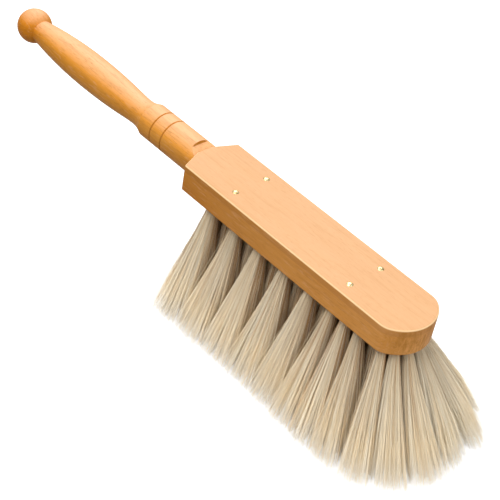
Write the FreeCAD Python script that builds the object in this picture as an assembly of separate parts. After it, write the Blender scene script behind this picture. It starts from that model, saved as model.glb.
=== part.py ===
"""Hand broom with a drawn hair head.

One beech piece is both head block and turned handle. Hair tufts are folded over a drawing wire and pulled
into stepped, splayed holes from below, and a pinned cover board hides the wires on top of the block.
Millimetres, +X towards the head end, +Z up, standing on the hair tips.
"""

import FreeCAD
import Part
import math
import os
from collections import namedtuple

Vector = FreeCAD.Vector

# Head block, with x counted from its two shoulder corners towards the head end
BLOCK_LENGTH = 194.0
BLOCK_WIDTH = 46.4
BLOCK_THICKNESS = 15.0
END_BULGE = 14.0
END_CORNER_RADIUS = 12.2
SHOULDER_DEPTH = 6.8
SHOULDER_FLAT_WIDTH = 13.0
SHOULDER_CORNER_RADIUS = 1.6
BOTTOM_EDGE_RADIUS = 1.4

# Cover board
COVER_THICKNESS = 5.0
COVER_EDGE_RADIUS = 1.3
COVER_GAP = 0.2

# Neck and handle, lengths in order from the shoulder to the ball
NECK_RADIUS = 12.6
NECK_LENGTH = 53.7
NECK_ROOT = 10.0
GROOVE_POSITIONS = (30.7, 41.9)
GROOVE_WIDTH = 1.3
GROOVE_DEPTH = 0.8
COVE_LENGTH = 11.0
WAIST_RADIUS = 10.05
FORE_GRIP_LENGTH = 56.7
GRIP_RADIUS = 12.7
GRIP_INFLECTION = 0.84
REAR_GRIP_LENGTH = 60.9
BALL_NECK_RADIUS = 8.4
BALL_RADIUS = 12.7

# Flats cut on the neck in front of the block, the upper one sloping down to the shoulder
FLAT_LENGTH = 5.5
FLAT_DEPTH = 2.0
FLAT_TILT = 24.0
FLAT_STEP_ANGLE = 75.0

# Hair holes
TUFT_INSET = 8.2
END_INSET = 6.2
ROW_GAP = 10.3
FIRST_TUFT = 24.3
INNER_FIRST_TUFT = 14.8
REAR_PITCH = 23.2
FRONT_PITCH = 11.4
FRONT_COUNT = 3
FRONT_TO_BEND = 14.2
ROW_STAGGER = 7.5
END_ANGLES = (-75.0, -45.0, -15.0, 15.0, 45.0, 75.0)
REAR_HOLE_DIAMETER = 7.2
HOLE_DIAMETER = 5.2
HOLE_DEPTH = 9.0

# Hair tufts
HAIR_LENGTH = 70.0
OUTER_TIP_SHARE = 0.75
INNER_TIP_SHARE = 0.25
REAR_REACH = 52.0
FRONT_REACH = 55.0
END_REACH = 63.0
END_TIP_DEPTH = 21.0
INNER_END_DEPTH = 20.0
INNER_END_WIDTH = 22.0
ROW_RAKE = 10.0
OUTER_RAKE_STEP = 7.8
INNER_RAKE_STEP = 4.0
END_RAKE = 15.0
SPLAY_SHARE = 0.8
FLARE_SHARE = 1.1
TIP_GAP = 1.0
TUFT_FIT = 0.15
CROWN_GAP = 0.3
FLARE_STEPS = (0.25, 0.5, 0.75, 1.0)
SECTION_POINTS = 8

# Drawing wires
WIRE_DIAMETER = 0.8
WIRE_CLEARANCE = 0.15
LOOP_BITE = 2.0
WIRE_TAIL = 5.0

# Cover pins
PIN_X = (38.8, 142.3)
PIN_Y = 13.3
PIN_DIAMETER = 1.8
PIN_LENGTH = 10.0
PIN_POINT = 2.0
PIN_HEAD_DIAMETER = 4.4
PIN_HEAD_HEIGHT = 0.8
PIN_FIT = 0.05

# Levels and places that follow from the sizes above
OVERRUN = 2.0
block_bottom = HAIR_LENGTH
seat_level = block_bottom + BLOCK_THICKNESS
cover_top = seat_level + COVER_THICKNESS
axis_level = (block_bottom + cover_top) / 2
neck_overhang = block_bottom - (axis_level - NECK_RADIUS)
outer_half = BLOCK_WIDTH / 2 - TUFT_INSET
inner_half = outer_half - ROW_GAP
bend_x = BLOCK_LENGTH - END_INSET - outer_half
end_tip = END_REACH - END_TIP_DEPTH / 2
inner_end_tip = END_REACH - END_TIP_DEPTH - INNER_END_DEPTH / 2 - 2 * TIP_GAP
wire_radius = WIRE_DIAMETER / 2
wire_bend = WIRE_DIAMETER
loop_half = wire_bend + WIRE_CLEARANCE
wire_way_radius = wire_radius + WIRE_CLEARANCE
pilot_radius = loop_half + wire_way_radius
run_level = seat_level - wire_way_radius
collar_x = -SHOULDER_DEPTH - NECK_LENGTH
waist_x = collar_x - COVE_LENGTH
belly_x = waist_x - FORE_GRIP_LENGTH
ball_neck_x = belly_x - REAR_GRIP_LENGTH
ball_centre_x = ball_neck_x - math.sqrt(BALL_RADIUS**2 - BALL_NECK_RADIUS**2)
handle_end_x = ball_centre_x - BALL_RADIUS

Tuft = namedtuple("Tuft", "name root along outward lean hole_radius half_width half_depth")


def line(start, end):
    """Straight edge between two points."""
    return Part.LineSegment(start, end).toShape()


def arc(start, middle, end):
    """Circular edge through three points."""
    return Part.Arc(start, middle, end).toShape()


def prism(face_wire, height):
    """Upright solid on a flat closed wire."""
    return Part.Face(face_wire).extrude(Vector(0, 0, height))


def block_outline(level):
    """Outline that the block and the cover board share, seen from above."""
    half = BLOCK_WIDTH / 2
    flat = SHOULDER_FLAT_WIDTH / 2
    end_radius = (END_BULGE**2 + half**2) / (2 * END_BULGE)
    end_centre = BLOCK_LENGTH - end_radius
    rise = half - END_CORNER_RADIUS
    reach = end_radius - END_CORNER_RADIUS
    corner_x = end_centre + math.sqrt(reach**2 - rise**2)
    corner_turn = math.atan2(rise, corner_x - end_centre)

    def point(x, y):
        return Vector(x, y, level)

    def on_corner(side, angle):
        x = corner_x + END_CORNER_RADIUS * math.cos(angle)
        y = rise + END_CORNER_RADIUS * math.sin(angle)
        return point(x, side * y)

    half_way = (corner_turn + math.pi / 2) / 2
    edges = [
        line(point(-SHOULDER_DEPTH, flat), point(-SHOULDER_DEPTH, -flat)),
        line(point(-SHOULDER_DEPTH, -flat), point(0, -half)),
        line(point(0, -half), point(corner_x, -half)),
        arc(point(corner_x, -half), on_corner(-1, half_way), on_corner(-1, corner_turn)),
        arc(on_corner(-1, corner_turn), point(BLOCK_LENGTH, 0), on_corner(1, corner_turn)),
        arc(on_corner(1, corner_turn), on_corner(1, half_way), point(corner_x, half)),
        line(point(corner_x, half), point(0, half)),
        line(point(0, half), point(-SHOULDER_DEPTH, flat)),
    ]
    return Part.Wire(edges)


def soften_shoulders(solid):
    """Round the two upright shoulder corners."""
    corners = []
    for edge in solid.Edges:
        middle = edge.CenterOfMass
        if abs(middle.x) < 0.01 and abs(abs(middle.y) - BLOCK_WIDTH / 2) < 0.01:
            corners.append(edge)
    return solid.makeFillet(SHOULDER_CORNER_RADIUS, corners)


def soften_level(solid, level, radius):
    """Round every edge that lies flat at one level."""
    edges = [edge for edge in solid.Edges
             if abs(edge.BoundBox.ZMin - level) < 0.01 and abs(edge.BoundBox.ZMax - level) < 0.01]
    return solid.makeFillet(radius, edges)


def swell(x_level, r_level, x_end, r_end):
    """Arc of a turned profile that starts level with the axis and ends at another station."""
    run = x_end - x_level
    drop = r_level - r_end
    radius = (run**2 + drop**2) / (2 * drop)
    half_turn = math.asin(run / radius) / 2
    middle = Vector(x_level + radius * math.sin(half_turn), 0,
                    r_level - radius * (1 - math.cos(half_turn)))
    return arc(Vector(x_level, 0, r_level), middle, Vector(x_end, 0, r_end))


def turned_handle():
    """Neck, grip and ball as one body of revolution."""
    def point(x, r):
        return Vector(x, 0, r)

    neck_turn = math.atan2(BALL_NECK_RADIUS, ball_neck_x - ball_centre_x)
    ball_middle = (neck_turn + math.pi) / 2
    inflection_x = belly_x + GRIP_INFLECTION * FORE_GRIP_LENGTH
    inflection_r = GRIP_RADIUS + GRIP_INFLECTION * (WAIST_RADIUS - GRIP_RADIUS)
    edges = [
        arc(point(handle_end_x, 0),
            point(ball_centre_x + BALL_RADIUS * math.cos(ball_middle), BALL_RADIUS * math.sin(ball_middle)),
            point(ball_neck_x, BALL_NECK_RADIUS)),
        swell(belly_x, GRIP_RADIUS, ball_neck_x, BALL_NECK_RADIUS),
        swell(belly_x, GRIP_RADIUS, inflection_x, inflection_r),
        swell(waist_x, WAIST_RADIUS, inflection_x, inflection_r),
        swell(waist_x, WAIST_RADIUS, collar_x, NECK_RADIUS),
    ]
    turns = [point(collar_x, NECK_RADIUS)]
    for position in sorted(GROOVE_POSITIONS, reverse=True):
        groove_x = -SHOULDER_DEPTH - position
        turns.append(point(groove_x - GROOVE_WIDTH / 2, NECK_RADIUS))
        turns.append(point(groove_x, NECK_RADIUS - GROOVE_DEPTH))
        turns.append(point(groove_x + GROOVE_WIDTH / 2, NECK_RADIUS))
    turns += [point(NECK_ROOT, NECK_RADIUS), point(NECK_ROOT, 0), point(handle_end_x, 0)]
    edges += [line(a, b) for a, b in zip(turns, turns[1:])]
    profile = Part.Wire(Part.__sortEdges__(edges))
    turned = Part.Face(profile).revolve(Vector(0, 0, 0), Vector(1, 0, 0), 360)
    turned.translate(Vector(0, 0, axis_level))
    return turned


def neck_flat(up, depth, tilt):
    """Cutter for a flat on the neck that starts at a steep step. up is 1 above and -1 below."""
    start = -SHOULDER_DEPTH - FLAT_LENGTH
    end = NECK_ROOT + OVERRUN
    crest = axis_level + up * NECK_RADIUS
    step = (depth + OVERRUN) / math.tan(math.radians(FLAT_STEP_ANGLE))
    end_depth = depth + (end - start) * math.tan(math.radians(tilt))
    corners = [
        Vector(start, -BLOCK_WIDTH / 2, crest - up * depth),
        Vector(start - step, -BLOCK_WIDTH / 2, crest + up * OVERRUN),
        Vector(end, -BLOCK_WIDTH / 2, crest + up * OVERRUN),
        Vector(end, -BLOCK_WIDTH / 2, crest - up * end_depth),
    ]
    face = Part.Face(Part.makePolygon(corners + corners[:1]))
    return face.extrude(Vector(0, BLOCK_WIDTH, 0))


def share_ahead(x):
    """How far along the way from the first tuft to the bend a station lies, from 0 to 1."""
    return min((x - FIRST_TUFT) / (bend_x - FIRST_TUFT), 1.0)


def reach_at(x):
    """Half width of the whole head of hair at the tips, for tufts at a station of the block."""
    return REAR_REACH + (FRONT_REACH - REAR_REACH) * share_ahead(x)


def tuft_at(name, x, half, angle, rake, tip_share, tip_ahead, hole_diameter):
    """A tuft on a row, where angle is -90 on the right side, 0 at the head end and 90 on the left side.

    Its tips stand in front of its hole by the rake, which fades out round the bend.
    """
    turn = math.radians(angle)
    outward = Vector(math.cos(turn), math.sin(turn), 0)
    along = Vector(-math.sin(turn), math.cos(turn), 0)
    root = Vector(x, 0, block_bottom) + outward * half
    lean = Vector((tip_ahead - half) * math.cos(turn) + rake * abs(math.sin(turn))**3,
                  (tip_share * reach_at(x) - half) * math.sin(turn), 0)
    at_end = abs(angle) < 90
    depth = END_TIP_DEPTH if at_end else reach_at(x) / 2 - TIP_GAP
    return Tuft(name, root, along, outward, lean, hole_diameter / 2, 0.0, depth / 2)


def row_of_tufts(ring, side, rear, front, half, rake_step, tip_share):
    """Tufts of one straight row in drawing order: forwards on the right, backwards on the left."""
    angle = -90.0 if side == "right" else 90.0
    stations = [(x, ROW_RAKE, REAR_HOLE_DIAMETER) for x in rear]
    stations += [(x, ROW_RAKE + i * rake_step, HOLE_DIAMETER) for i, x in enumerate(front)]
    tufts = [tuft_at(f"tuft_{ring}_{side}_{i}", x, half, angle, rake, tip_share, 0.0, hole_diameter)
             for i, (x, rake, hole_diameter) in enumerate(stations, 1)]
    return tufts if side == "right" else tufts[::-1]


def share_tips(tufts):
    """The same tufts, with the tips of each moved and widened to fill the way between its neighbours."""
    tips = [tuft.root + tuft.lean for tuft in tufts]
    limits = [(a + b) / 2 for a, b in zip(tips, tips[1:])]
    limits = [tips[0] * 2 - limits[0]] + limits + [tips[-1] * 2 - limits[-1]]
    shared = []
    for tuft, start, end in zip(tufts, limits, limits[1:]):
        half_width = (end - start).Length / 2 - TIP_GAP / 2
        along = (end - start).normalize()
        shared.append(tuft._replace(along=along, outward=Vector(along.y, -along.x, 0),
                                    lean=(start + end) / 2 - tuft.root, half_width=half_width))
    return shared


def tuft_loops():
    """The outer and inner loops of tufts: right row, head end, left row."""
    last = bend_x - FRONT_TO_BEND
    front = [last - (FRONT_COUNT - 1 - i) * FRONT_PITCH for i in range(FRONT_COUNT)]
    rear_count = int((front[0] - FIRST_TUFT - FRONT_PITCH) / REAR_PITCH) + 1
    rear = [FIRST_TUFT + i * REAR_PITCH for i in range(rear_count)]
    end = [tuft_at(f"tuft_outer_end_{i}", bend_x, outer_half, angle, END_RAKE, OUTER_TIP_SHARE, end_tip,
                   HOLE_DIAMETER) for i, angle in enumerate(END_ANGLES, 1)]
    right, left = [row_of_tufts("outer", side, rear, front, outer_half, OUTER_RAKE_STEP, OUTER_TIP_SHARE)
                   for side in ("right", "left")]
    outer = share_tips(right + end + left)

    inner_rear = [INNER_FIRST_TUFT] + [x + ROW_STAGGER for x in rear]
    inner_front = [x + FRONT_PITCH / 2 for x in front]
    inner_end = tuft_at("tuft_inner_end_1", bend_x, inner_half, 0.0, END_RAKE, INNER_TIP_SHARE,
                        inner_end_tip, HOLE_DIAMETER)
    inner_end = inner_end._replace(half_width=INNER_END_WIDTH / 2, half_depth=INNER_END_DEPTH / 2)
    right, left = [share_tips(row_of_tufts("inner", side, inner_rear, inner_front, inner_half, INNER_RAKE_STEP,
                                           INNER_TIP_SHARE)) for side in ("right", "left")]
    return outer, right + [inner_end] + left


def tilt_of(tuft):
    """Sideways travel of a hole's axis for each millimetre down."""
    return tuft.lean * (SPLAY_SHARE / HAIR_LENGTH)


def on_axis(tuft, level):
    """Point of a hole's axis at a level."""
    return tuft.root - tilt_of(tuft) * (level - block_bottom) + Vector(0, 0, level - block_bottom)


def crown_level(tuft):
    """Top of the folded tuft, just under the step of its slanting hole."""
    slope = math.atan(tilt_of(tuft).Length)
    return block_bottom + HOLE_DEPTH * math.cos(slope) - tuft.hole_radius * math.sin(slope) - CROWN_GAP


def stepped_hole(tuft):
    """Cutter for a tuft's hole and for the narrow way through which its fold is drawn up."""
    axis = on_axis(tuft, seat_level) - tuft.root
    length = axis.Length
    axis.normalize()
    wide = Part.makeCylinder(tuft.hole_radius, HOLE_DEPTH + OVERRUN, tuft.root - axis * OVERRUN, axis)
    way = Part.makeCylinder(pilot_radius, length + OVERRUN, tuft.root, axis)
    return wide.fuse(way)


def tuft_section(tuft, level, centre, half_width, half_depth):
    """Closed level curve of a tuft."""
    points = []
    for i in range(SECTION_POINTS):
        turn = 2 * math.pi * i / SECTION_POINTS
        offset = tuft.along * (half_width * math.cos(turn)) + tuft.outward * (half_depth * math.sin(turn))
        points.append(Vector(centre.x, centre.y, level) + offset)
    curve = Part.BSplineCurve()
    curve.interpolate(points, PeriodicFlag=True)
    return Part.Wire(curve.toShape())


def tuft_solid(tuft):
    """One bundle of hair: a plug in its hole, then a flare down to the level tips."""
    plug = tuft.hole_radius - TUFT_FIT
    crown = crown_level(tuft)
    sections = [
        tuft_section(tuft, crown, on_axis(tuft, crown), plug, plug),
        tuft_section(tuft, block_bottom, tuft.root, plug, plug),
    ]
    for step in FLARE_STEPS:
        grown = SPLAY_SHARE * step + (1 - SPLAY_SHARE) * step**2
        flared = FLARE_SHARE * step + (1 - FLARE_SHARE) * step**2
        sections.append(tuft_section(tuft, HAIR_LENGTH * (1 - step), tuft.root + tuft.lean * grown,
                                     plug + (tuft.half_width - plug) * flared,
                                     plug + (tuft.half_depth - plug) * grown))
    bundle = Part.makeLoft(sections, True, True)
    loop = loop_points(tuft, crown + OVERRUN)
    return bundle.cut(tube(loop, wire_way_radius))


def loop_points(tuft, top_level):
    """Corners of the wire's loop through a tuft's fold, from top level down, across and up again."""
    bite = crown_level(tuft) - LOOP_BITE
    side = tuft.along * loop_half
    return [
        on_axis(tuft, top_level) - side,
        on_axis(tuft, bite) - side,
        on_axis(tuft, bite) + side,
        on_axis(tuft, top_level) + side,
    ]


def tube(points, radius):
    """Round wire along straight runs, with every corner bent to the wire's bend radius."""
    edges = []
    start = points[0]
    for before, corner, after in zip(points, points[1:], points[2:]):
        into = (corner - before).normalize()
        out = (after - corner).normalize()
        turn = into.getAngle(out)
        cut = wire_bend * math.tan(turn / 2)
        first = corner - into * cut
        last = corner + out * cut
        inward = (out - into).normalize()
        middle = corner + inward * (wire_bend / math.cos(turn / 2) - wire_bend)
        edges += [line(start, first), arc(first, middle, last)]
        start = last
    edges.append(line(start, points[-1]))
    profile = Part.Wire(Part.makeCircle(radius, points[0], points[1] - points[0]))
    return Part.Wire(edges).makePipeShell([profile], True, False)


def wire_points(tufts):
    """Route of a drawing wire from tuft to tuft, with a straight tail at each end."""
    points = []
    for tuft in tufts:
        points += loop_points(tuft, run_level)
    tail_in = points[0] - tufts[0].along * WIRE_TAIL
    tail_out = points[-1] + tufts[-1].along * WIRE_TAIL
    return [tail_in] + points + [tail_out]


def wire_channels(points):
    """Cutters for the channels that hold the wire's level runs below the cover board."""
    cutters = []
    runs = list(zip(points[0::4], points[1::4]))
    for start, end in runs:
        run = (end - start).normalize()
        side = Vector(-run.y, run.x, 0) * wire_way_radius
        spare = run * wire_way_radius
        floor = Vector(0, 0, -wire_way_radius)
        corners = [start - spare + side + floor, end + spare + side + floor,
                   end + spare - side + floor, start - spare - side + floor]
        cutters.append(prism(Part.makePolygon(corners + corners[:1]), 2 * wire_way_radius + OVERRUN))
    return cutters


def pin_places():
    """Points on the cover board's top where the pins' heads sit."""
    return [Vector(x, side * PIN_Y, cover_top) for x in PIN_X for side in (-1, 1)]


def cover_pin(place):
    """Round pin with a low domed head and a tapered point."""
    shank = PIN_DIAMETER / 2
    head = PIN_HEAD_DIAMETER / 2
    dome = (head**2 + PIN_HEAD_HEIGHT**2) / (2 * PIN_HEAD_HEIGHT)
    half_turn = math.asin(head / dome) / 2
    dome_middle = Vector(dome * math.sin(half_turn), 0,
                         PIN_HEAD_HEIGHT - dome * (1 - math.cos(half_turn)))
    top = Vector(0, 0, PIN_HEAD_HEIGHT)
    turns = [Vector(head, 0, 0), Vector(shank, 0, 0), Vector(shank, 0, PIN_POINT - PIN_LENGTH),
             Vector(0, 0, -PIN_LENGTH), top]
    edges = [arc(top, dome_middle, turns[0])] + [line(a, b) for a, b in zip(turns, turns[1:])]
    pin = Part.Face(Part.Wire(edges)).revolve(Vector(0, 0, 0), Vector(0, 0, 1), 360)
    pin.translate(place)
    return pin


def pin_hole(place):
    """Cutter for a pin's hole through the cover board and into the block."""
    bottom = place - Vector(0, 0, PIN_LENGTH + PIN_FIT)
    return Part.makeCylinder(PIN_DIAMETER / 2 + PIN_FIT, PIN_LENGTH + OVERRUN, bottom)


def brush_body(loops):
    """Block, neck and handle in one, with the cover's seat, the hair holes and the wires' channels."""
    block = soften_shoulders(prism(block_outline(block_bottom), BLOCK_THICKNESS))
    block = soften_level(block, block_bottom, BOTTOM_EDGE_RADIUS)
    seat = prism(block_outline(seat_level), COVER_THICKNESS + NECK_RADIUS)
    seat.translate(Vector(-COVER_GAP, 0, 0))
    handle = turned_handle().cut([neck_flat(1, FLAT_DEPTH, FLAT_TILT), neck_flat(-1, neck_overhang, 0)])
    body = block.fuse(handle).cut(seat)
    cutters = [pin_hole(place) for place in pin_places()]
    for tufts in loops:
        cutters += [stepped_hole(tuft) for tuft in tufts]
        cutters += wire_channels(wire_points(tufts))
    return body.cut(cutters).removeSplitter()


def cover_board():
    """Thin board on the block, with rounded top edges and the pins' holes."""
    board = soften_shoulders(prism(block_outline(seat_level), COVER_THICKNESS))
    board = soften_level(board, cover_top, COVER_EDGE_RADIUS)
    return board.cut([pin_hole(place) for place in pin_places()])


def all_nodes():
    """Every piece of the broom by name."""
    outer, inner = tuft_loops()
    nodes = {"brush_body": brush_body((outer, inner)), "cover_board": cover_board()}
    for i, place in enumerate(pin_places(), 1):
        nodes[f"cover_pin_{i}"] = cover_pin(place)
    nodes["outer_drawing_wire"] = tube(wire_points(outer), wire_radius)
    nodes["inner_drawing_wire"] = tube(wire_points(inner), wire_radius)
    for tuft in outer + inner:
        nodes[tuft.name] = tuft_solid(tuft)
    return nodes


def main():
    """Build every piece and write one file for each, with the origin under the middle of the broom."""
    os.makedirs("parts", exist_ok=True)
    nodes = all_nodes()
    hair_front_x = max(shape.optimalBoundingBox(False).XMax for shape in nodes.values())
    origin_x = (handle_end_x + hair_front_x) / 2
    print("origin", origin_x)
    for name, shape in nodes.items():
        shape.translate(Vector(-origin_x, 0, 0))
        shape.exportStep(f"parts/{name}.step")
        print(name, len(shape.Solids), shape.isValid(), round(shape.Volume, 1))


main()
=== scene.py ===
"""Hand broom in oiled beech, with brass pins, drawing wires and tufts of soft light hair."""

from __future__ import annotations

import logging
import math
from collections.abc import Sequence
from dataclasses import dataclass, field
from enum import Enum
from typing import ClassVar

import bpy
import numpy as np
from mathutils import Matrix, Vector

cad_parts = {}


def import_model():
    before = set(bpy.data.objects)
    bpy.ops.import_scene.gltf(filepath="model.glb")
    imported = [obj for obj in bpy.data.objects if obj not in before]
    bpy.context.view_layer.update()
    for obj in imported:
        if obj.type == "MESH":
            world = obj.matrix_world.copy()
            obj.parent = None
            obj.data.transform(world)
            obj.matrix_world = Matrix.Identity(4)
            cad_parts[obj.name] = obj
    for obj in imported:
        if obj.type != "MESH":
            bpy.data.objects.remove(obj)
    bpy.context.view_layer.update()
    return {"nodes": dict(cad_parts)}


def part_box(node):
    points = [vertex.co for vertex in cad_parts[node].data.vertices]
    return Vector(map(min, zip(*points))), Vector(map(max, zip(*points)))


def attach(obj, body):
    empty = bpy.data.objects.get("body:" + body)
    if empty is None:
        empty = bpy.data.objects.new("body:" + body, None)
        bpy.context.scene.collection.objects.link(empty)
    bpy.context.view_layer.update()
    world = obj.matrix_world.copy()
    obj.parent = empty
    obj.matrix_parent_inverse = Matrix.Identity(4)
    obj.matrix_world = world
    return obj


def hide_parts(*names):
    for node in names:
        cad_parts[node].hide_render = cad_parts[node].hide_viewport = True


Colour = tuple[float, float, float]
Triple = tuple[float, float, float]
Span = tuple[float, float]
Stops = Sequence[tuple[float, Colour]]
Socket = bpy.types.NodeSocket

ROOT_BODY = "root"
STRAND_UV = "OFBake"
MILLIMETRE = 0.001
LEVEL_TOLERANCE = 0.01 * MILLIMETRE
PATTERN_DIGITS = 6
LEAST_REACH = 1e-6
WHOLE: Span = (0.0, 1.0)

log = logging.getLogger("hand_broom")


class Slot(Enum):
    """Material slots of the record."""

    BEECH = "oiled_beech"
    PIN = "pin_brass"
    WIRE = "wire_brass"
    HAIR = "light_hair"


class Ring(Enum):
    """The two loops of tufts, named as in the nodes."""

    OUTER = "outer"
    INNER = "inner"


class Axis(Enum):
    """Axes of the broom: along it, across it and up."""

    X = "X"
    Y = "Y"
    Z = "Z"


class Blend(Enum):
    """Ways to lay one colour on another."""

    MIX = "MIX"
    MULTIPLY = "MULTIPLY"


class Operation(Enum):
    """Ways to combine two values."""

    MULTIPLY = "MULTIPLY"
    SUBTRACT = "SUBTRACT"


@dataclass(frozen=True)
class Grain:
    """A noise pattern on a surface.

    Attributes:
        stretch: Pattern repeats for each metre along X, Y and Z.
        edges: Noise values between which the pattern fades in.
        detail: Number of finer layers.
        roughness: Strength of the finer layers.
        warp: Distortion of the pattern.
    """

    stretch: Triple
    edges: Span = (0.3, 0.7)
    detail: float = 3.0
    roughness: float = 0.5
    warp: float = 0.0


class NodeSheet:
    """A material's nodes, with short ways to add and join them."""

    def __init__(self, name: str) -> None:
        """Start an empty sheet that ends in a Principled shader.

        Args:
            name: Name of the new material.
        """
        self.material = bpy.data.materials.new(name)
        self.material.use_nodes = True
        self.tree = self.material.node_tree
        self.tree.nodes.clear()
        self.shader = self.add("ShaderNodeBsdfPrincipled")
        output = self.add("ShaderNodeOutputMaterial")
        self.join(self.shader.outputs["BSDF"], output.inputs["Surface"])

    def add(self, kind: str) -> bpy.types.Node:
        """Add one node of a kind."""
        return self.tree.nodes.new(kind)

    def join(self, source: Socket, target: Socket) -> None:
        """Link an output to an input."""
        self.tree.links.new(source, target)

    def feed(self, name: str, source: Socket) -> None:
        """Link an output to the shader's input of a name."""
        self.join(source, self.shader.inputs[name])

    def set(self, **values: float) -> None:
        """Set plain numbers on the shader, by socket name with spaces as underscores."""
        for name, value in values.items():
            self.shader.inputs[name.replace("_", " ")].default_value = value

    def noise(self, grain: Grain) -> Socket:
        """Noise on Object coordinates, drawn out on each axis.

        Args:
            grain: The pattern.

        Returns:
            The noise value, about 0.5 on average.
        """
        source = self.add("ShaderNodeTexCoord")
        mapping = self.add("ShaderNodeMapping")
        mapping.inputs["Scale"].default_value = grain.stretch
        self.join(source.outputs["Object"], mapping.inputs["Vector"])
        node = self.add("ShaderNodeTexNoise")
        node.inputs["Scale"].default_value = 1.0
        node.inputs["Detail"].default_value = grain.detail
        node.inputs["Roughness"].default_value = grain.roughness
        node.inputs["Distortion"].default_value = grain.warp
        self.join(mapping.outputs["Vector"], node.inputs["Vector"])
        return node.outputs["Fac"]

    def ramp(self, value: Socket, stops: Stops) -> Socket:
        """Colour ramp through the given stops.

        Args:
            value: The ramp's input.
            stops: Positions from 0 to 1, each with its colour.

        Returns:
            The ramp's colour.
        """
        node = self.add("ShaderNodeValToRGB")
        elements = node.color_ramp.elements
        while len(elements) < len(stops):
            elements.new(1.0)
        for element, (position, colour) in zip(elements, stops):
            element.position = position
            element.color = (*colour, 1.0)
        self.join(value, node.inputs["Fac"])
        return node.outputs["Color"]

    def span(self, value: Socket, edges: Span, start: float = 0.0, end: float = 1.0) -> Socket:
        """Map a range of values onto another, held at its ends.

        Args:
            value: The value to map.
            edges: Inputs that give start and end.
            start: Output at the first edge.
            end: Output at the second edge.

        Returns:
            The mapped value.
        """
        node = self.add("ShaderNodeMapRange")
        low, high = edges
        node.inputs["From Min"].default_value = low
        node.inputs["From Max"].default_value = high
        node.inputs["To Min"].default_value = start
        node.inputs["To Max"].default_value = end
        self.join(value, node.inputs["Value"])
        return node.outputs["Result"]

    def mix(self, share: Socket | float, first: Socket | Colour, second: Socket | Colour,
            blend: Blend = Blend.MIX) -> Socket:
        """Blend two colours.

        Args:
            share: Share of the second colour.
            first: Colour or socket below.
            second: Colour or socket on top.
            blend: How the second lies on the first.

        Returns:
            The blended colour.
        """
        node = self.add("ShaderNodeMix")
        node.data_type = "RGBA"
        node.blend_type = blend.value
        if isinstance(share, float):
            node.inputs["Factor"].default_value = share
        else:
            self.join(share, node.inputs["Factor"])
        for name, part in (("A", first), ("B", second)):
            socket = next(s for s in node.inputs if s.name == name and s.type == "RGBA")
            if isinstance(part, tuple):
                socket.default_value = (*part, 1.0)
            else:
                self.join(part, socket)
        return next(s for s in node.outputs if s.type == "RGBA")

    def combine(self, first: Socket, second: Socket, operation: Operation) -> Socket:
        """Combine two values with a math operation."""
        node = self.add("ShaderNodeMath")
        node.operation = operation.value
        self.join(first, node.inputs[0])
        self.join(second, node.inputs[1])
        return node.outputs["Value"]

    def bump(self, height: Socket, strength: float, depth: float) -> None:
        """Raise the surface by a height pattern.

        Args:
            height: The pattern.
            strength: Share of the effect.
            depth: Height of the pattern in metres.
        """
        node = self.add("ShaderNodeBump")
        node.inputs["Strength"].default_value = strength
        node.inputs["Distance"].default_value = depth
        self.join(height, node.inputs["Height"])
        self.feed("Normal", node.outputs["Normal"])

    def split(self, coordinates: str, axis: Axis) -> Socket:
        """One axis of a kind of texture coordinates."""
        source = self.add("ShaderNodeTexCoord")
        parts = self.add("ShaderNodeSeparateXYZ")
        self.join(source.outputs[coordinates], parts.inputs["Vector"])
        return parts.outputs[axis.value]

    def facing(self, axis: Axis) -> Socket:
        """How far the surface faces along an object axis, from -1 to 1."""
        return self.split("Normal", axis)

    def position(self, axis: Axis) -> Socket:
        """Place along an object axis, in metres."""
        return self.split("Object", axis)


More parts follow.
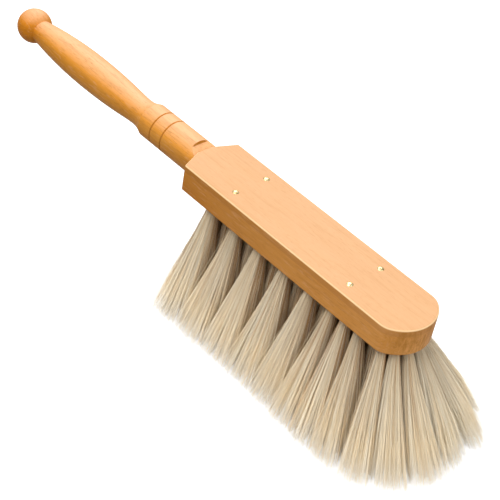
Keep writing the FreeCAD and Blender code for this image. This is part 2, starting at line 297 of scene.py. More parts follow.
@dataclass(frozen=True)
class BeechFinish:
    """Oiled beech with pores, rays and soft bands drawn out along the grain."""

    name: str
    # Colours of the wood, and of its painted lit flank, top sheen and edge highlight.
    pale: Colour = (0.54, 0.236, 0.040)
    ripe: Colour = (0.45, 0.178, 0.022)
    deep: Colour = (0.52, 0.198, 0.013)
    lit_flank_amber: Colour = (0.76, 0.30, 0.04)
    fleck: Colour = (0.27, 0.095, 0.015)
    ray_and_painted_sheen: Colour = (0.70, 0.415, 0.200)
    end_grain: Colour = (0.36, 0.145, 0.020)
    painted_edge_highlight: Colour = (0.88, 0.62, 0.34)
    # Painted light and shade along the broom, a tint from the ball to the head's end: darker at
    # the ball and the shoulder, brighter towards the head's end.
    painted_shading: Stops = (
        (0.0, (0.92, 0.80, 0.45)),
        (0.035, (1.0, 1.0, 1.0)),
        (0.46, (1.0, 1.0, 1.0)),
        (0.475, (0.89, 0.81, 0.64)),
        (0.62, (0.93, 0.91, 1.05)),
        (0.85, (1.08, 1.10, 1.50)),
        (0.94, (1.24, 1.36, 2.4)),
    )
    # Strength of each colour.
    handle_share: float = 0.9
    lit_flank_share: float = 0.0
    rear_shade_share: float = 0.6
    painted_sheen_share: float = 0.75
    end_share: float = 0.75
    edge_highlight_share: float = 0.0
    streak_share: float = 0.24
    ray_share: float = 0.18
    fleck_share: float = 0.40
    # Places in metres along the broom.
    handle_reach: Span = (-0.20, -0.03)
    broom_reach: Span = (-0.20, 0.20)
    # How far the surface faces up, to the rear or to an end where a colour, a painted light or a
    # painted shade comes in.
    lit_flank_rise: Span = (0.20, 0.62)
    painted_sheen_rise: Span = (0.52, 1.0)
    edge_highlight_rise: Span = (0.20, 0.50)
    edge_highlight_fall: Span = (0.82, 0.98)
    rear_shade_turn: Span = (-0.10, 0.70)
    end_turn: Span = (0.12, 0.75)
    # Patterns of the grain.
    bands: Grain = Grain((7.0, 55.0, 38.0), (0.34, 0.62), detail=4.0, warp=0.6)
    mottle: Grain = Grain((420.0, 420.0, 160.0), (0.38, 0.66), roughness=0.6, warp=0.8)
    streaks: Grain = Grain((28.0, 420.0, 420.0), (0.50, 0.70), roughness=0.6, warp=0.3)
    rays: Grain = Grain((120.0, 1100.0, 900.0), (0.54, 0.70), detail=2.0)
    pores: Grain = Grain((170.0, 1400.0, 1400.0), (0.54, 0.70), detail=2.0, roughness=0.6)
    patches: Grain = Grain((22.0, 90.0, 90.0), (0.35, 0.65), detail=2.0)
    wear: Grain = Grain((30.0, 130.0, 130.0))
    fibres: Grain = Grain((90.0, 2600.0, 2600.0), detail=2.0)
    least_mottle: float = 0.15
    least_patch: float = 0.45
    # Oil and relief.
    gloss_roughness: float = 0.42
    gloss_change: Span = (-0.06, 0.08)
    relief_strength: float = 0.25
    relief_depth: float = 0.05 * MILLIMETRE

    def material(self) -> bpy.types.Material:
        """Build the finish.

        Returns:
            The new material.
        """
        sheet = NodeSheet(self.name)
        upward = sheet.facing(Axis.Z)
        tone = self.plain_wood(sheet, upward)
        tone = self.grained(sheet, tone)
        tone = self.end_grain_and_edge_highlight(sheet, tone, upward)
        sheet.feed("Base Color", tone)
        sheet.set(IOR=1.45, Specular_IOR_Level=0.1)
        return sheet.material

    def plain_wood(self, sheet: NodeSheet, upward: Socket) -> Socket:
        """Colour the wood by its bands and its place on the broom, and paint light and shade by
        the way it faces.

        Args:
            sheet: The material's nodes.
            upward: How far the surface faces up.

        Returns:
            The colour of the plain wood.
        """
        first, last = self.bands.edges
        tone = sheet.ramp(sheet.noise(self.bands), ((first, self.ripe), (last, self.pale)))
        place = sheet.position(Axis.X)
        handle = sheet.span(place, self.handle_reach, self.handle_share, 0.0)
        tone = sheet.mix(handle, tone, self.deep)
        # Painted light: the upper flanks that face the key light turn a brighter, richer amber.
        lit_flank_mask = sheet.span(upward, self.lit_flank_rise, 0.0, self.lit_flank_share)
        tone = sheet.mix(lit_flank_mask, tone, self.lit_flank_amber)
        # Painted light and shade along the broom, multiplied into the wood's colour.
        shade = sheet.ramp(sheet.span(place, self.broom_reach), self.painted_shading)
        tone = sheet.mix(1.0, tone, shade, Blend.MULTIPLY)
        # Painted shade: faces that turn to the rear take the deep colour.
        rear = sheet.span(sheet.facing(Axis.Y), self.rear_shade_turn, 0.0, self.rear_shade_share)
        tone = sheet.mix(rear, tone, self.deep)
        # Painted sheen: faces that turn up go pale, standing in for the overhead soft box's sheen.
        top = sheet.span(upward, self.painted_sheen_rise, 0.0, self.painted_sheen_share)
        return sheet.mix(top, tone, self.ray_and_painted_sheen)

    def grained(self, sheet: NodeSheet, tone: Socket) -> Socket:
        """Add streaks, rays and pores to a tone, and the gloss and relief that go with them.

        Args:
            sheet: The material's nodes.
            tone: Colour of the plain wood.

        Returns:
            The grained colour.
        """
        streaks = sheet.span(sheet.noise(self.streaks), self.streaks.edges, 0.0, self.streak_share)
        tone = sheet.mix(streaks, tone, self.fleck)
        rays = sheet.span(sheet.noise(self.rays), self.rays.edges, 0.0, self.ray_share)
        tone = sheet.mix(rays, tone, self.ray_and_painted_sheen)
        pores = sheet.noise(self.pores)
        patches = sheet.span(sheet.noise(self.patches), self.patches.edges, self.least_patch, 1.0)
        flecks = sheet.combine(sheet.span(pores, self.pores.edges, 0.0, self.fleck_share), patches,
                               Operation.MULTIPLY)
        low, high = (self.gloss_roughness + change for change in self.gloss_change)
        sheet.feed("Roughness", sheet.span(sheet.noise(self.wear), self.wear.edges, low, high))
        relief = sheet.combine(sheet.noise(self.fibres), pores, Operation.SUBTRACT)
        sheet.bump(relief, self.relief_strength, self.relief_depth)
        return sheet.mix(flecks, tone, self.fleck)

    def end_grain_and_edge_highlight(self, sheet: NodeSheet, tone: Socket, upward: Socket) -> Socket:
        """Add the mottled end grain and the painted highlight along the rounded edges.

        Args:
            sheet: The material's nodes.
            tone: Colour of the grained wood.
            upward: How far the surface faces up.

        Returns:
            The colour of the finished wood.
        """
        lengthwise = sheet.facing(Axis.X)
        end_on = sheet.combine(lengthwise, lengthwise, Operation.MULTIPLY)
        mottle = sheet.span(sheet.noise(self.mottle), self.mottle.edges, self.least_mottle, 1.0)
        ends = sheet.combine(sheet.span(end_on, self.end_turn, 0.0, self.end_share), mottle,
                             Operation.MULTIPLY)
        tone = sheet.mix(ends, tone, self.end_grain)
        # Painted highlight: a pale line where the rounded top edge turns from the side to the top.
        edges = sheet.combine(sheet.span(upward, self.edge_highlight_rise, 0.0, self.edge_highlight_share),
                              sheet.span(upward, self.edge_highlight_fall, 1.0, 0.0), Operation.MULTIPLY)
        return sheet.mix(edges, tone, self.painted_edge_highlight)


@dataclass(frozen=True)
class BrassFinish:
    """Brass with faint tarnish and hairline scratches."""

    name: str
    bright: Colour = (0.93, 0.78, 0.44)
    tarnish: Colour = (0.48, 0.31, 0.10)
    bright_rise: Span = (0.35, 0.93)
    clouds: Grain = Grain((700.0, 700.0, 700.0), (0.36, 0.58), detail=4.0, roughness=0.6)
    scratches: Grain = Grain((900.0, 4200.0, 2600.0))
    roughness: float = 0.34
    roughness_change: Span = (-0.06, 0.12)
    relief_strength: float = 0.2
    relief_depth: float = 0.02 * MILLIMETRE

    def material(self) -> bpy.types.Material:
        """Build the finish.

        Returns:
            The new material.
        """
        sheet = NodeSheet(self.name)
        first, last = self.clouds.edges
        tone = sheet.ramp(sheet.noise(self.clouds), ((first, self.tarnish), (last, self.bright)))
        # Darker towards the sides and underside, where the surface faces less upward.
        level = sheet.span(sheet.facing(Axis.Z), self.bright_rise)
        sheet.feed("Base Color", sheet.mix(level, self.tarnish, tone))
        scratches = sheet.noise(self.scratches)
        low, high = (self.roughness + change for change in self.roughness_change)
        sheet.feed("Roughness", sheet.span(scratches, self.scratches.edges, low, high))
        sheet.bump(scratches, self.relief_strength, self.relief_depth)
        sheet.set(Metallic=1.0)
        return sheet.material


@dataclass(frozen=True)
class HairFinish:
    """Soft light hair: a tone for each strand, darker at its root as painted shade under the
    block, and paler at its tip.
    """

    name: str
    tones: Stops = (
        (0.0, (0.86, 0.66, 0.40)),
        (0.25, (0.95, 0.79, 0.54)),
        (0.55, (0.99, 0.86, 0.65)),
        (0.80, (0.99, 0.90, 0.73)),
        (1.0, (0.99, 0.93, 0.80)),
    )
    lengths: Stops = (
        (0.0, (0.50, 0.40, 0.28)),
        (0.12, (0.68, 0.61, 0.50)),
        (0.30, (0.82, 0.77, 0.68)),
        (0.50, (0.91, 0.87, 0.79)),
        (0.75, (1.0, 0.96, 0.87)),
        (1.0, (1.0, 1.0, 1.0)),
    )
    tip: Colour = (0.95, 0.91, 0.83)
    tip_share: float = 0.30
    tip_lengths: Span = (0.82, 1.0)
    painted_gap_shade: Colour = (0.42, 0.21, 0.06)
    gap_shade_tones: Span = (0.14, 0.50)
    gap_shade_lengths: Span = (0.30, 0.82)
    roughness: Span = (0.55, 0.70)

    def material(self) -> bpy.types.Material:
        """Build the finish from each strand's own tone and length coordinates.

        Returns:
            The new material.
        """
        sheet = NodeSheet(self.name)
        source = sheet.add("ShaderNodeUVMap")
        source.uv_map = STRAND_UV
        parts = sheet.add("ShaderNodeSeparateXYZ")
        sheet.join(source.outputs["UV"], parts.inputs["Vector"])
        strand, length = parts.outputs["X"], parts.outputs["Y"]
        # Painted shade: the lengths ramp darkens each strand towards its root, under the block.
        shade = sheet.ramp(length, self.lengths)
        tone = sheet.mix(1.0, sheet.ramp(strand, self.tones), shade, Blend.MULTIPLY)
        # Painted shade: strands of low tone turn brown along their upper length, darkening the
        # gaps between tufts.
        gap_shade = sheet.combine(sheet.span(strand, self.gap_shade_tones, 1.0, 0.0),
                             sheet.span(length, self.gap_shade_lengths, 1.0, 0.0), Operation.MULTIPLY)
        tone = sheet.mix(gap_shade, tone, self.painted_gap_shade)
        tip = sheet.span(length, self.tip_lengths, 0.0, self.tip_share)
        sheet.feed("Base Color", sheet.mix(tip, tone, self.tip))
        sheet.feed("Roughness", sheet.span(length, WHOLE, *self.roughness))
        sheet.set(Sheen_Weight=0.8, Sheen_Roughness=0.5, IOR=1.45)
        return sheet.material


def dress(node: bpy.types.Object, material: bpy.types.Material) -> None:
    """Give a node one material in place of those it came with."""
    node.data.materials.clear()
    node.data.materials.append(material)


@dataclass
class WoodenBroom:
    """The turned and planed beech: body with handle, and the cover board."""

    body_finish: BeechFinish = BeechFinish(
        "turned_beech",
        ray_and_painted_sheen=(0.73, 0.43, 0.25),
        lit_flank_share=0.85,
    )
    cover_finish: BeechFinish = BeechFinish(
        "planed_beech",
        pale=(0.46, 0.195, 0.034),
        ripe=(0.38, 0.148, 0.020),
        ray_and_painted_sheen=(0.645, 0.383, 0.209),
        fleck=(0.44, 0.215, 0.075),
        edge_highlight_share=0.8,
        gloss_roughness=0.46,
    )

    def dress(self, nodes: dict[str, bpy.types.Object]) -> None:
        """Finish the wooden nodes.

        Args:
            nodes: The frame's nodes by name.
        """
        finishes = {"brush_body": self.body_finish, "cover_board": self.cover_finish}
        for name, finish in finishes.items():
            dress(nodes[name], finish.material())
            log.info("%s (%s) dressed in %s", name, Slot.BEECH.value, finish.name)


@dataclass
class Metalwork:
    """Cover pins and the drawing wires under the board."""

    pin_finish: BrassFinish = BrassFinish("pin_brass_polished")
    wire_finish: BrassFinish = BrassFinish(
        "wire_brass_drawn",
        bright=(0.80, 0.62, 0.30),
        roughness=0.32,
    )

    def dress(self, nodes: dict[str, bpy.types.Object]) -> None:
        """Finish the pins and wires.

        Args:
            nodes: The frame's nodes by name.
        """
        pin = self.pin_finish.material()
        wire = self.wire_finish.material()
        for name, node in nodes.items():
            if name.startswith("cover_pin_"):
                dress(node, pin)
                log.info("%s (%s) dressed in %s", name, Slot.PIN.value, pin.name)
            elif name.endswith("_drawing_wire"):
                dress(node, wire)
                log.info("%s (%s) dressed in %s", name, Slot.WIRE.value, wire.name)


@dataclass
class StrandPattern:
    """One hair, modelled once as a three-sided rod of unit length along Z."""

    sides: int = 3
    stations: Span = (0.30, 0.64)
    vertices: np.ndarray = field(init=False)
    faces: list[list[int]] = field(init=False)

    def build(self) -> None:
        """Model the rod, cut its rings and keep its points and faces."""
        bpy.ops.object.select_all(action="DESELECT")
        bpy.ops.mesh.primitive_cylinder_add(
            vertices=self.sides, radius=1.0, depth=1.0, location=(0.0, 0.0, 0.5))
        rod = bpy.context.object
        bpy.ops.object.transform_apply(location=True)
        bpy.ops.object.mode_set(mode="EDIT")
        for station in self.stations:
            bpy.ops.mesh.select_all(action="SELECT")
            bpy.ops.mesh.bisect(plane_co=(0.0, 0.0, station), plane_no=(0.0, 0.0, 1.0))
        bpy.ops.object.mode_set(mode="OBJECT")
        self.vertices = np.array([vertex.co for vertex in rod.data.vertices])
        self.faces = [list(face.vertices) for face in rod.data.polygons]
        bpy.data.objects.remove(rod)

    def heights(self) -> np.ndarray:
        """Height of each point, rounded so that the points of a ring agree."""
        return np.round(self.vertices[:, 2], PATTERN_DIGITS)


@dataclass
class Clumps:
    """Places in a bundle of unit radius: strands cling together in wisps, and wisps in locks.

    Attributes:
        place: Place of each strand.
        wisp_place: Place of each wisp.
        lock_place: Place of each lock.
        wisp: Number of each strand's wisp.
        lock: Number of each strand's lock.
    """

    place: np.ndarray
    wisp_place: np.ndarray
    lock_place: np.ndarray
    wisp: np.ndarray = field(init=False)
    lock: np.ndarray = field(init=False)

    def __post_init__(self) -> None:
        """Put each strand in its nearest wisp, and each wisp in its nearest lock."""
        self.wisp = self.nearest(self.place, self.wisp_place)
        self.lock = self.nearest(self.wisp_place, self.lock_place)[self.wisp]

    @staticmethod
    def nearest(places: np.ndarray, centres: np.ndarray) -> np.ndarray:
        """Number of the centre that is nearest to each place."""
        return ((places[:, None, :] - centres[None, :, :]) ** 2).sum(axis=2).argmin(axis=1)

    def counts(self) -> tuple[int, int, int]:
        """Numbers of strands, wisps and locks."""
        return len(self.place), len(self.wisp_place), len(self.lock_place)


@dataclass
class HairTuft:
    """A bundle of strands that stands for one tuft node.

    The side of a tuft that lies away from the light along the loop of tufts, its lee, is painted
    browner as shade. Tufts on the far side of the broom splay sooner and are painted paler as
    light.
    """

    # Middle of the round end of the loops along the broom, and steps of a half turn.
    end_middle: ClassVar[float] = 0.162
    half_turn: ClassVar[int] = 180

    # Where the tuft stands.
    name: str
    root: np.ndarray
    root_level: float
    root_radius: float
    tip: np.ndarray
    outward: np.ndarray
    long_axis: np.ndarray
    half_long: float
    half_short: float
    ring: Ring
    push: Span = (0.0, 0.0)
    widest_place: float = 66.5 * MILLIMETRE
    lowest: float = 0.2 * MILLIMETRE
    depth_in_hole: float = 0.05
    far_turn: float = 0.1

    # Number of strands, and how they crowd.
    strands_per_area: float = 6.4e6
    inner_share: float = 0.7
    least_strands: int = 1200
    strands_per_lock: int = 24
    strands_per_wisp: int = 4
    crowding: float = 0.47

    # Spread from the hole to the tips.
    splay_share: float = 0.8
    far_splay_share: float = 1.2
    flare_power: float = 1.2
    root_share: float = 0.88
    overlap: float = 1.26
    squareness: float = 0.85
    gather: float = 0.06
    gather_power: float = 1.6
    wisp_gather: float = 0.50

    # Bends of the locks, wisps and strands.
    lock_bend: float = 0.4 * MILLIMETRE
    wisp_bend: float = 0.5 * MILLIMETRE
    strand_bend: float = 0.6 * MILLIMETRE
    stray_share: float = 0.03
    stray_bend: float = 3.5 * MILLIMETRE
    stray_limit: float = 7.0 * MILLIMETRE
    wisp_bow: float = 0.3 * MILLIMETRE
    strand_bow: float = 0.3 * MILLIMETRE
    stray_bow: float = 2.4 * MILLIMETRE
    bow_share: float = 0.6

    # Ragged ends and thickness of the strands.
    lock_ragged: float = 0.008
    strand_ragged: float = 0.024
    most_ragged: float = 0.22
    foot_radius: float = 0.068 * MILLIMETRE
    radius: float = 0.085 * MILLIMETRE
    tip_radius: float = 0.03 * MILLIMETRE
    taper_places: Triple = (0.0, 0.5, 1.0)
    girth_range: Span = (0.7, 1.25)
    bold_share: float = 0.10
    bold_girth: float = 1.8

    # Tone of the strands, from brown at 0 to pale at 1, with painted shade on the inner loop and
    # the lee sides and painted light on the far tufts.
    tone: float = 0.69
    inner_shade_tone: float = 0.40
    lock_tone: float = 0.09
    wisp_tone: float = 0.20
    strand_tone: float = 0.10
    bold_tone: float = 0.16
    far_light_tone: float = 0.15
    lee_shade_tone: float = 0.62
    lee_along: float = 0.85
    lee_inward: float = 0.35
    lee_power: float = 1.5
    tone_limits: Span = (0.02, 0.98)
    tone_width: float = 0.006

    @classmethod
    def from_node(cls, node: bpy.types.Object, root_level: float) -> HairTuft:
        """Read a tuft's hole, lean and spread from its node.

        Args:
            node: The tuft's solid.
            root_level: Height of the block's underside.

        Returns:
            The tuft to be filled with strands.
        """
        points = np.array([vertex.co for vertex in node.data.vertices])
        hole = points[np.abs(points[:, 2] - root_level) < LEVEL_TOLERANCE][:, :2]
        rim = points[points[:, 2] < LEVEL_TOLERANCE][:, :2]
        tip = (rim.min(axis=0) + rim.max(axis=0)) / 2
        turns = np.linspace(0.0, math.pi, cls.half_turn, endpoint=False)
        ways = np.stack([np.cos(turns), np.sin(turns)], axis=1)
        reach = ((rim - tip) @ ways.T).max(axis=0)
        widest = int(reach.argmax())
        narrow = (widest + cls.half_turn // 2) % cls.half_turn
        outward = tip - np.array([min(tip[0], cls.end_middle), 0.0])
        return cls(
            name=node.name,
            root=(hole.min(axis=0) + hole.max(axis=0)) / 2,
            root_level=root_level,
            root_radius=float(np.ptp(hole[:, 0])) / 2,
            tip=tip,
            outward=outward / np.linalg.norm(outward),
            long_axis=ways[widest],
            half_long=float(reach[widest]),
            half_short=float(reach[narrow]),
            ring=Ring(node.name.split("_")[1]),
        )

    def piece_name(self) -> str:
        """Name of the piece that stands for the tuft's node."""
        return self.name.replace("tuft_", "hair_")

    def is_far(self) -> bool:
        """Whether the tuft faces the far side of the broom."""
        return bool(self.outward[1] > self.far_turn)

    def axes(self) -> np.ndarray:
        """Long and short axis of the tips."""
        return np.array([self.long_axis, (-self.long_axis[1], self.long_axis[0])])

    def strand_count(self) -> int:
        """Number of strands for the area that the tips cover."""
        area = math.pi * self.half_long * self.half_short
        share = 1.0 if self.ring is Ring.OUTER else self.inner_share
        return max(self.least_strands, int(share * area * self.strands_per_area))

    def scatter(self, number: int, rng: np.random.Generator) -> np.ndarray:
        """Scatter places over the bundle.

        Args:
            number: How many places.
            rng: Source of chance.

        Returns:
            The places, within a radius of 1.
        """
        turn = rng.uniform(0.0, 2.0 * math.pi, number)
        reach = rng.uniform(0.0, 1.0, number) ** self.crowding
        return np.stack([reach * np.cos(turn), reach * np.sin(turn)], axis=1)

    def clumps(self, rng: np.random.Generator) -> Clumps:
        """Scatter the strands, then the wisps and then the locks."""
        count = self.strand_count()
        place = self.scatter(count, rng)
        wisp_place = self.scatter(count // self.strands_per_wisp, rng)
        lock_place = self.scatter(count // self.strands_per_lock, rng)
        return Clumps(place, wisp_place, lock_place)

    def spread(self, clumps: Clumps, rise: np.ndarray) -> np.ndarray:
        """Spread the strands from the round hole to the squarish rim of the tips.

        Args:
            clumps: The strands' places in the bundle.
            rise: Shares of the length below the block.

        Returns:
            Offsets from the middle of the tuft, by strand and step.
        """
        flared = 1.0 - (1.0 - rise) ** self.flare_power
        pulled = self.gather * rise**self.gather_power
        clung = self.wisp_gather * rise
        place = clumps.place[:, None, :]
        spot = place * (1.0 - clung) + clumps.wisp_place[clumps.wisp][:, None, :] * clung
        spot = spot * (1.0 - pulled) + clumps.lock_place[clumps.lock][:, None, :] * pulled
        reach = np.maximum(np.linalg.norm(spot, axis=2, keepdims=True), LEAST_REACH)
        corner = np.abs(spot).max(axis=2, keepdims=True) / reach
        square = spot / corner ** (self.squareness * flared)
        tip_spread = square * np.array([self.half_long, self.half_short]) * self.overlap
        hole_spread = place * self.root_radius * self.root_share
        return (hole_spread * (1.0 - flared) + tip_spread * flared) @ self.axes()

    def sway(self, clumps: Clumps, rise: np.ndarray, rng: np.random.Generator) -> np.ndarray:
        """Bend the strands sideways, some of them astray.

        Args:
            clumps: The strands' wisps and locks.
            rise: Shares of the length below the block.
            rng: Source of chance.

        Returns:
            Sideways shifts by strand and step.
        """
        count, wisps, locks = clumps.counts()
        drift = rng.normal(0.0, self.lock_bend, (locks, 2))[clumps.lock]
        drift += rng.normal(0.0, self.wisp_bend, (wisps, 2))[clumps.wisp]
        drift += rng.normal(0.0, self.strand_bend, (count, 2))
        stray = rng.uniform(size=count) < self.stray_share
        strays = (int(stray.sum()), 2)
        bends = rng.normal(0.0, self.stray_bend, strays)
        drift[stray] += np.clip(bends, -self.stray_limit, self.stray_limit)
        bow = rng.normal(0.0, self.wisp_bow, (wisps, 2))[clumps.wisp]
        bow += rng.normal(0.0, self.strand_bow, (count, 2))
        bow[stray] += rng.normal(0.0, self.stray_bow, strays)
        arch = 4.0 * rise * (1.0 - rise)
        return drift[:, None, :] * rise**2 + bow[:, None, :] * arch * self.bow_share

    def levels(self, clumps: Clumps, steps: np.ndarray, rng: np.random.Generator) -> np.ndarray:
        """Let the strands down to their ragged tips.

        Args:
            clumps: The strands' locks.
            steps: Shares of the length at which each strand has a point.
            rng: Source of chance.

        Returns:
            Heights by strand and step.
        """
        count, _, locks = clumps.counts()
        short = np.abs(rng.normal(0.0, self.lock_ragged, locks))[clumps.lock]
        short += np.abs(rng.normal(0.0, self.strand_ragged, count))
        length = 1.0 - np.clip(short, 0.0, self.most_ragged)
        step = steps[None, :]
        level = self.root_level * (1.0 - step * np.where(step > 0.0, length[:, None], 1.0))
        return np.maximum(level, self.lowest)

    def paths(self, clumps: Clumps, steps: np.ndarray, rng: np.random.Generator) -> np.ndarray:
        """Lay the strands from the hole to their tips.

        Args:
            clumps: The strands' places in the bundle.
            steps: Shares of the length at which each strand has a point.
            rng: Source of chance.

        Returns:
            Points by strand and step.
        """
        step = steps[None, :, None]
        rise = np.clip(step, 0.0, None)
        splay = self.far_splay_share if self.is_far() else self.splay_share
        grown = splay * step + (1.0 - splay) * rise**2
        lean = self.tip + np.array(self.push) - self.root
        offset = self.spread(clumps, rise)
        plan = self.root + lean * grown + offset + self.sway(clumps, rise, rng)
        plan[:, :, 1] = np.clip(plan[:, :, 1], -self.widest_place, self.widest_place)
        level = self.levels(clumps, steps, rng)
        return np.concatenate([plan, level[:, :, None]], axis=2)

    def tones(self, clumps: Clumps, rng: np.random.Generator) -> np.ndarray:
        """Give each strand a tone from 0 to 1.

        Args:
            clumps: The strands' places, wisps and locks.
            rng: Source of chance.

        Returns:
            Tones by strand.
        """
        count, wisps, locks = clumps.counts()
        # Painted shade: tufts of the inner loop, sunk among the outer ones, take a darker middle
        # tone.
        middle = self.tone if self.ring is Ring.OUTER else self.inner_shade_tone
        loop_way = np.array([-self.outward[1], self.outward[0]])
        lee_way = self.lee_along * loop_way - self.lee_inward * self.outward
        lee = np.clip(clumps.place @ self.axes() @ lee_way, 0.0, 1.0) ** self.lee_power
        # Painted shade on the lee side of near tufts, and painted light on far tufts.
        shade = -self.far_light_tone if self.is_far() else self.lee_shade_tone * lee
        tone = middle - shade + self.lock_tone * rng.normal(size=locks)[clumps.lock]
        tone += self.wisp_tone * rng.normal(size=wisps)[clumps.wisp]
        tone += self.strand_tone * rng.normal(size=count)
        return np.clip(tone, *self.tone_limits)

    def build(self, pattern: StrandPattern, seed: int) -> bpy.types.Object:
        """Copy the pattern along every strand and join the copies into one mesh.

        Args:
            pattern: The rod to copy.
            seed: Seed of this tuft's chance.

        Returns:
            The tuft's object, in place.
        """
        rng = np.random.default_rng(seed)
        clumps = self.clumps(rng)
        heights = pattern.heights()
        rings = np.unique(heights)
        steps = -self.depth_in_hole + rings * (1.0 + self.depth_in_hole)
        points = self.paths(clumps, steps, rng)
        tone = self.tones(clumps, rng)
        count = len(points)

        way = points[:, -1] - points[:, 0]
        way /= np.linalg.norm(way, axis=1, keepdims=True)
        side = np.cross(way, rng.normal(size=(count, 3)))
        side /= np.linalg.norm(side, axis=1, keepdims=True)
        other = np.cross(way, side)

        thick = rng.uniform(*self.girth_range, count)[:, None]
        bold = rng.uniform(size=count) < self.bold_share
        thick[bold] *= self.bold_girth
        tone[bold] = np.minimum(tone[bold] + self.bold_tone, self.tone_limits[1])
        radii = (self.foot_radius, self.radius, self.tip_radius)
        girth = thick * np.interp(rings, self.taper_places, radii)[None, :]

        ring_of = np.searchsorted(rings, heights)
        corner = pattern.vertices[None, :, :2]
        around = side[:, None, :] * corner[:, :, :1] + other[:, None, :] * corner[:, :, 1:]
        vertices = points[:, ring_of] + around * girth[:, ring_of][:, :, None]
        vertices[:, :, 2] = np.maximum(vertices[:, :, 2], 0.0)

        hair = bpy.data.objects.new(self.piece_name(), self.mesh_of(vertices, pattern, tone))
        bpy.context.scene.collection.objects.link(hair)
        return hair

    def mesh_of(self, vertices: np.ndarray, pattern: StrandPattern,
                tone: np.ndarray) -> bpy.types.Mesh:
        """Join copies of the pattern into a mesh with tone and length coordinates.

        Args:
            vertices: Points by strand and pattern point.
            pattern: The rod that was copied.
            tone: Tone of each strand.

        Returns:
            The joined mesh.
        """
        count, size = vertices.shape[:2]
        corners = np.concatenate([np.array(face) for face in pattern.faces])
        totals = np.array([len(face) for face in pattern.faces])
        shift = np.arange(count)[:, None] * size
        loops = (corners[None, :] + shift).ravel()
        loop_totals = np.tile(totals, count)
        loop_starts = np.concatenate([[0], np.cumsum(loop_totals)[:-1]])

        mesh = bpy.data.meshes.new(self.piece_name())
        mesh.vertices.add(count * size)
        mesh.vertices.foreach_set("co", vertices.astype(np.float32).ravel())
        mesh.loops.add(len(loops))
        mesh.loops.foreach_set("vertex_index", loops.astype(np.int32))
        mesh.polygons.add(len(loop_totals))
        mesh.polygons.foreach_set("loop_start", loop_starts.astype(np.int32))
        mesh.polygons.foreach_set("loop_total", loop_totals.astype(np.int32))
        mesh.polygons.foreach_set("use_smooth", np.zeros(len(loop_totals), dtype=bool))
        mesh.update(calc_edges=True)

        width = self.tone_width * pattern.vertices[corners, 0]
        tones = np.clip(tone[:, None] + width[None, :], *WHOLE)
        lengths = np.broadcast_to(pattern.vertices[corners, 2][None, :], tones.shape)
        layer = mesh.uv_layers.new(name=STRAND_UV)
        places = np.stack([tones, lengths], axis=2)
        layer.data.foreach_set("uv", places.astype(np.float32).ravel())
        return mesh


@dataclass
class HairHead:
    """All tufts of the broom.

    Attributes:
        finish: Finish of the strands.
        pattern: The hair that is copied.
        hair_length: Height of the block's underside above the tips.
        unruly: How far the tips of some tufts are pushed along and across, in metres.
        seed: Seed of the first tuft.
    """

    finish: HairFinish = HairFinish("soft_light_hair")
    pattern: StrandPattern = field(default_factory=StrandPattern)
    hair_length: float = 70.0 * MILLIMETRE
    unruly: dict[str, Span] = field(default_factory=lambda: {
        "tuft_outer_right_1": (-0.001, -0.003),
        "tuft_outer_right_2": (0.0, -0.002),
        "tuft_outer_right_3": (0.0, -0.001),
        "tuft_outer_right_6": (0.0, -0.001),
        "tuft_outer_right_7": (0.0, -0.002),
        "tuft_outer_right_8": (0.0, -0.002),
        "tuft_outer_end_1": (0.0025, -0.0055),
        "tuft_outer_end_2": (0.0025, -0.0035),
        "tuft_outer_end_3": (0.003, -0.001),
        "tuft_outer_end_4": (0.002, 0.0),
        "tuft_outer_end_5": (0.0075, 0.007),
        "tuft_outer_end_6": (0.004, 0.012),
        "tuft_outer_left_8": (0.003, 0.010),
        "tuft_outer_left_7": (0.001, 0.005),
    })
    seed: int = 41

    def build(self, nodes: dict[str, bpy.types.Object]) -> None:
        """Fill every tuft with strands in place of its solid.

        Args:
            nodes: The frame's nodes by name.
        """
        self.pattern.build()
        material = self.finish.material()
        names = sorted(name for name in nodes if name.startswith("tuft_"))
        for number, name in enumerate(names):
            tuft = HairTuft.from_node(nodes[name], self.hair_length)
            tuft.push = self.unruly.get(name, tuft.push)
            hair = tuft.build(self.pattern, self.seed + number)
            dress(hair, material)
            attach(hair, ROOT_BODY)
            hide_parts(name)
            log.info("%s: %d strands", hair.name, tuft.strand_count())


@dataclass
class SoftBox:
    """A square area light."""

    name: str
    towards: Triple
    distance: float
    size: float
    power: float

    def build(self, aim: Vector) -> None:
        """Hang the light and point it.

        Args:
            aim: Point that the light faces.
        """
        data = bpy.data.lights.new(self.name, "AREA")
        data.shape = "SQUARE"
        data.size = self.size
        data.energy = self.power
        lamp = bpy.data.objects.new(self.name, data)
        way = Vector(self.towards).normalized()
        lamp.location = aim + way * self.distance
        lamp.rotation_euler = way.to_track_quat("Z", "Y").to_euler()
        bpy.context.scene.collection.objects.link(lamp)


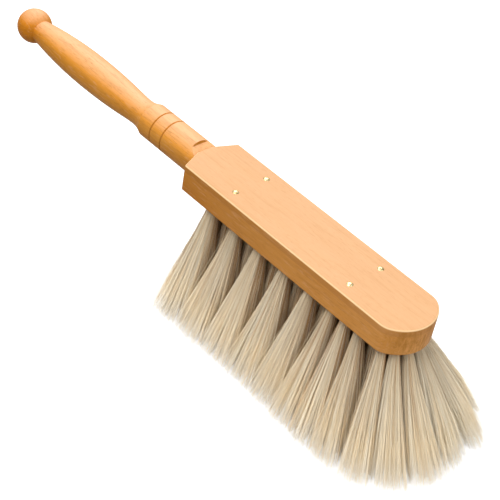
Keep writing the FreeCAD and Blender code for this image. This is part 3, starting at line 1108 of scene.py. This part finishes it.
@dataclass
class Studio:
    """Pale floor, soft lights and the camera."""

    floor_half: Span = (6.0, 6.0)
    floor_level: float = -0.3 * MILLIMETRE
    floor_albedo: float = 0.45
    floor_glow: float = 0.75
    bounce_level: float = -0.6 * MILLIMETRE
    bounce_albedo: float = 0.30
    card_half: Span = (0.2, 0.16)
    card_middle: float = 0.1
    card_level: float = -0.5 * MILLIMETRE
    card_albedo: float = 0.46
    ambient: float = 0.44
    boxes: tuple[SoftBox, ...] = (
        SoftBox("front_softbox", (-0.12, -0.54, 0.83), distance=1.25, size=0.9, power=12.5),
        SoftBox("rear_softbox", (-0.5, 0.5, 0.7), distance=1.15, size=0.9, power=11.0),
        SoftBox("end_softbox", (0.80, 0.02, 0.56), distance=1.25, size=0.9, power=6.2),
    )
    camera_place: Triple = (0.50111, -0.5257, 0.6065)
    camera_azimuth: float = 41.40
    camera_elevation: float = 38.80
    camera_roll: float = 10.87
    lens: float = 99.0
    sensor: float = 36.0

    def build(self) -> None:
        """Set up the floor, the lights and the camera."""
        self.lay_floor()
        self.light()
        self.place_camera()

    def paint(self, name: str, albedo: float, glow: float = 0.0) -> bpy.types.Material:
        """Plain pale floor paint.

        Args:
            name: Name of the material.
            albedo: Share of light that it returns.
            glow: Light that it gives by itself.

        Returns:
            The new material.
        """
        sheet = NodeSheet(name)
        sheet.shader.inputs["Base Color"].default_value = (albedo, albedo, albedo, 1.0)
        sheet.shader.inputs["Emission Color"].default_value = (1.0, 1.0, 1.0, 1.0)
        sheet.set(Emission_Strength=glow, Roughness=1.0, Specular_IOR_Level=0.0)
        return sheet.material

    def plane(self, name: str, half: Span, place: Triple,
              material: bpy.types.Material) -> bpy.types.Object:
        """Level plane of the stage.

        Args:
            name: Name of the object.
            half: Half of its length and width.
            place: Its middle.
            material: Its paint.

        Returns:
            The plane.
        """
        bpy.ops.object.select_all(action="DESELECT")
        bpy.ops.mesh.primitive_plane_add(size=2.0, location=place)
        plane = bpy.context.object
        plane.name = name
        plane.scale = (*half, 1.0)
        bpy.ops.object.transform_apply(location=True, scale=True)
        dress(plane, material)
        return plane

    def lay_floor(self) -> None:
        """Lay the floor, and under it the paint and the card that throw light back."""
        paint = self.paint("white_floor", self.floor_albedo, self.floor_glow)
        floor = self.plane("floor", self.floor_half, (0.0, 0.0, self.floor_level), paint)
        floor.visible_diffuse = False
        floor.visible_glossy = False
        floor.visible_shadow = False
        paint = self.paint("bounce_floor", self.bounce_albedo)
        bounce = self.plane("floor_bounce", self.floor_half, (0.0, 0.0, self.bounce_level), paint)
        bounce.visible_camera = False
        paint = self.paint("white_card", self.card_albedo)
        card_place = (self.card_middle, 0.0, self.card_level)
        card = self.plane("white_card", self.card_half, card_place, paint)
        card.visible_camera = False

    def light(self) -> None:
        """Light the broom from all round and from the soft boxes."""
        world = bpy.data.worlds.new("studio")
        world.use_nodes = True
        background = world.node_tree.nodes["Background"]
        background.inputs["Color"].default_value = (1.0, 1.0, 1.0, 1.0)
        background.inputs["Strength"].default_value = self.ambient
        bpy.context.scene.world = world
        bpy.context.scene.view_settings.view_transform = "Standard"
        low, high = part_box("brush_body")
        for box in self.boxes:
            box.build((low + high) / 2)

    def place_camera(self) -> None:
        """Stand the camera where the photograph was taken from."""
        azimuth = math.radians(self.camera_azimuth)
        elevation = math.radians(self.camera_elevation)
        roll = math.radians(self.camera_roll)
        back = Vector((math.sin(azimuth) * math.cos(elevation),
                       -math.cos(azimuth) * math.cos(elevation),
                       math.sin(elevation)))
        right = Vector((0.0, 0.0, 1.0)).cross(back).normalized()
        up = back.cross(right)
        turned_right = math.cos(roll) * right + math.sin(roll) * up
        turned_up = math.cos(roll) * up - math.sin(roll) * right
        data = bpy.data.cameras.new("camera")
        data.lens = self.lens
        data.sensor_width = self.sensor
        camera = bpy.data.objects.new("camera", data)
        turn = Matrix((turned_right, turned_up, back)).transposed()
        camera.matrix_world = Matrix.Translation(self.camera_place) @ turn.to_4x4()
        bpy.context.scene.collection.objects.link(camera)
        bpy.context.scene.camera = camera


def main() -> None:
    """Build the broom piece by piece."""
    logging.basicConfig(level=logging.INFO, format="%(name)s: %(message)s")
    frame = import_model()
    nodes = frame["nodes"]
    WoodenBroom().dress(nodes)
    Metalwork().dress(nodes)
    HairHead().build(nodes)
    Studio().build()


if __name__ == "__main__":
    main()
